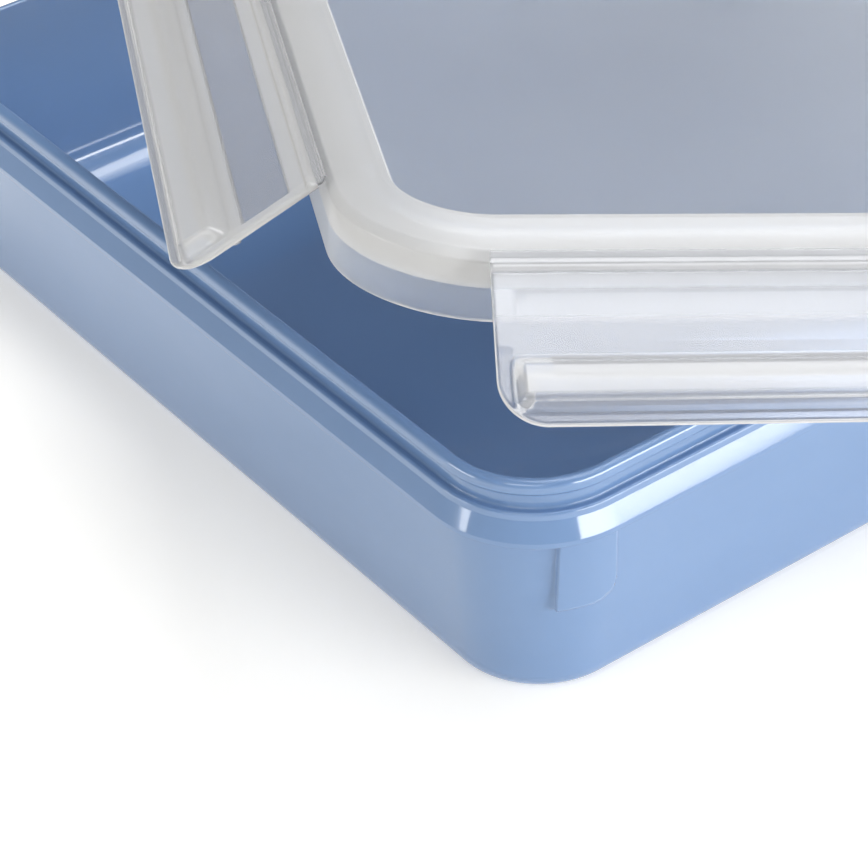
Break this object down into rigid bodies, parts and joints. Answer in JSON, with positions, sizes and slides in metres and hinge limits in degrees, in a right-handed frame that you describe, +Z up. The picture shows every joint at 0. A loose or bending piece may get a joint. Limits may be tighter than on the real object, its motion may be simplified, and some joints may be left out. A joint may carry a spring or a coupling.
{
  "type": "snap lid food container",
  "caption": "Open rectangular tub with a lifted clear lid, a seal in its rim and a snap latch flap on each side.",
  "frame": {"origin": "middle of the tub's base, on the surface that it stands on", "axes": "+Z up, Y along the tub's longer side, X along its shorter side; the front side faces -Y"},
  "size_m": [0.2591, 0.3348, 0.1399],
  "materials": {
    "blue_plastic": "smooth, slightly translucent blue polypropylene",
    "clear_plastic": "clear glossy polypropylene",
    "milky_plastic": "milky translucent polypropylene",
    "white_silicone": "satin white silicone"
  },
  "bodies": {
    "container": {"container": "blue_plastic"},
    "lid_carrier": {"gate_pip": "clear_plastic"},
    "lid": {"lid": "clear_plastic", "seal_ring": "white_silicone"},
    "latch_front": {"latch_front": "milky_plastic", "film_hinge_front": "milky_plastic"},
    "latch_back": {"latch_back": "milky_plastic", "film_hinge_back": "milky_plastic"},
    "latch_left": {"latch_left": "milky_plastic", "film_hinge_left": "milky_plastic"},
    "latch_right": {"latch_right": "milky_plastic", "film_hinge_right": "milky_plastic"}
  },
  "joints": [
    {"name": "lid_lift", "type": "slide", "parent": "container", "child": "lid_carrier", "axis": [0.0644, 0.7832, -0.6184], "range_m": [-0.05, 0.0998]},
    {"name": "lid_turn", "type": "hinge", "parent": "lid_carrier", "child": "lid", "pos_m": [-0.00643, -0.07817, 0.11491], "axis": [0.1959, -0.305, 0.932], "range_deg": [-15, 29.9]},
    {"name": "latch_front_hinge", "type": "hinge", "parent": "lid", "child": "latch_front", "pos_m": [-0.05744, -0.17646, 0.13026], "axis": [0.872, -0.4725, -0.1278], "range_deg": [-80, 54], "deforming": ["film_hinge_front"]},
    {"name": "latch_back_hinge", "type": "hinge", "parent": "lid", "child": "latch_back", "pos_m": [0.04465, 0.02015, 0.09997], "axis": [-0.872, 0.4725, 0.1278], "range_deg": [-80, 54], "deforming": ["film_hinge_back"]},
    {"name": "latch_left_hinge", "type": "hinge", "parent": "lid", "child": "latch_left", "pos_m": [-0.07947, -0.03856, 0.12582], "axis": [-0.4566, -0.8793, 0.1355], "range_deg": [-80, 54], "deforming": ["film_hinge_left"]},
    {"name": "latch_right_hinge", "type": "hinge", "parent": "lid", "child": "latch_right", "pos_m": [0.06668, -0.11775, 0.1044], "axis": [0.4566, 0.8793, -0.1355], "range_deg": [-80, 54], "deforming": ["film_hinge_right"]}
  ],
  "couplings": [
    {"joint": "lid_turn", "follows": "lid_lift", "rad_per_m": 5.2285}
  ]
}
